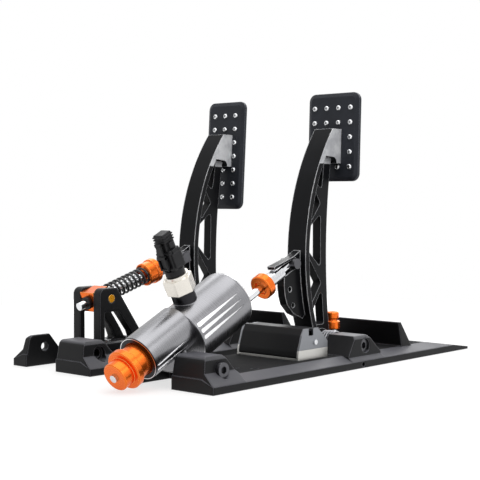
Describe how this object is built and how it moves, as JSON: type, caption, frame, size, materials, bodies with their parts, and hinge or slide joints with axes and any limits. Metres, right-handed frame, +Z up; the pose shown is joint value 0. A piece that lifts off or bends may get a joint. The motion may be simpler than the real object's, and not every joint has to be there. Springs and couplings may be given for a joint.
{
  "type": "two-pedal set for a driving simulator",
  "caption": "Black two-pedal set for a driving simulator: hydraulic brake and sprung throttle on separate floor bases, with orange adjusters.",
  "frame": {"origin": "on the floor, midway between the two bases and midway along them", "axes": "+X to the driver's right, +Y away from the driver, +Z up"},
  "size_m": [0.267, 0.4554, 0.2703],
  "materials": {
    "black_casting": "satin",
    "pad_coat": "satin",
    "gunmetal": "satin",
    "orange_anodised": "satin",
    "bright_steel": "satin",
    "chrome_rod": "polished",
    "bare_alloy": "satin",
    "bronze_bush": "satin",
    "black_plastic": "matte",
    "black_rubber": "matte",
    "black_spring": "satin",
    "board": "gloss"
  },
  "bodies": {
    "frame": {"brake_base": "black_casting", "throttle_base": "black_casting", "brake_axle": "bright_steel", "throttle_axle": "bright_steel", "axle_nuts": "bright_steel", "axle_spacers": "gunmetal", "brake_return_spring": "bright_steel", "throttle_angle_sensor": "black_plastic", "stop_posts": "bright_steel", "stop_bumpers": "orange_anodised", "cylinder_bolt": "bright_steel", "cylinder_bolt_nut": "bright_steel", "cylinder_barrel": "gunmetal", "elastomer_sleeve": "gunmetal", "sensor_body": "bright_steel", "sensor_connector": "black_plastic", "sensor_latch": "black_plastic", "elastomer_stack": "black_rubber", "throttle_bracket": "black_casting", "bracket_screws": "bright_steel", "control_housing": "black_casting", "control_floor": "bare_alloy", "control_end_plates": "bare_alloy", "control_screws": "bright_steel", "circuit_board": "board", "data_socket": "bright_steel"},
    "brake_pedal": {"brake_arm": "black_casting", "brake_bushes": "bronze_bush", "brake_pad": "pad_coat", "brake_pad_studs": "bright_steel", "brake_pad_bolts": "bright_steel"},
    "brake_push_rod": {"brake_rod": "chrome_rod", "rod_cross_barrel": "bright_steel", "rod_ferrule": "bright_steel", "rod_washer": "black_rubber", "rod_collar": "orange_anodised", "master_piston": "bare_alloy", "master_seal": "black_rubber"},
    "slave_unit": {"slave_piston": "bare_alloy", "slave_seal": "black_rubber"},
    "preload_slider": {"preload_ring": "orange_anodised", "preload_stud": "bright_steel"},
    "preload_wheel": {"preload_knob": "orange_anodised"},
    "throttle_pedal": {"throttle_arm": "black_casting", "throttle_bushes": "bronze_bush", "throttle_pad": "pad_coat", "throttle_pad_studs": "bright_steel", "throttle_pad_bolts": "bright_steel"},
    "throttle_swivel": {"trunnion_block": "orange_anodised", "trunnion_pins": "orange_anodised", "block_bush": "black_plastic", "throttle_spring": "black_spring"},
    "throttle_push_rod": {"throttle_rod": "chrome_rod", "throttle_fork": "bright_steel", "fork_pin": "bright_steel", "spring_cup": "orange_anodised"}
  },
  "joints": [
    {"name": "brake_swing", "type": "hinge", "parent": "frame", "child": "brake_pedal", "pos_m": [-0.0625, -0.021, 0.02], "axis": [-1, 0, 0], "range_deg": [0, 6], "stiffness_Nm_per_rad": 60, "springref_deg": -2.86},
    {"name": "brake_rod_slide", "type": "slide", "parent": "frame", "child": "brake_push_rod", "axis": [0, 0.8988, -0.4384], "range_m": [0, 0.0092]},
    {"name": "slave_slide", "type": "slide", "parent": "frame", "child": "slave_unit", "axis": [0, 0.8988, -0.4384], "range_m": [0, 0.0052], "deforming": ["elastomer_stack"]},
    {"name": "preload_slide", "type": "slide", "parent": "frame", "child": "preload_slider", "axis": [0, 0.8988, -0.4384], "range_m": [0, 0.0025]},
    {"name": "preload_turn", "type": "hinge", "parent": "preload_slider", "child": "preload_wheel", "pos_m": [-0.0625, 0.22078, 0.02589], "axis": [0, 0.8988, -0.4384], "range_deg": [0, 721]},
    {"name": "throttle_swing", "type": "hinge", "parent": "frame", "child": "throttle_pedal", "pos_m": [0.0915, -0.021, 0.02], "axis": [-1, 0, 0], "range_deg": [0, 12], "stiffness_Nm_per_rad": 8, "springref_deg": -17.19},
    {"name": "block_swivel", "type": "hinge", "parent": "frame", "child": "throttle_swivel", "pos_m": [0.0915, 0.1295, 0.064], "axis": [1, 0, 0], "range_deg": [0, 1.9]},
    {"name": "throttle_rod_slide", "type": "slide", "parent": "throttle_swivel", "child": "throttle_push_rod", "axis": [0, 0.9557, -0.2944], "range_m": [0, 0.0179], "deforming": ["throttle_spring"]}
  ],
  "couplings": [
    {"joint": "brake_rod_slide", "follows": "brake_swing", "m_per_rad": 0.0867},
    {"joint": "slave_slide", "follows": "brake_swing", "m_per_rad": 0.04877},
    {"joint": "preload_turn", "follows": "preload_slide", "rad_per_m": 5026.5},
    {"joint": "block_swivel", "follows": "throttle_swing", "ratio": 0.152},
    {"joint": "throttle_rod_slide", "follows": "throttle_swing", "m_per_rad": 0.0849}
  ]
}
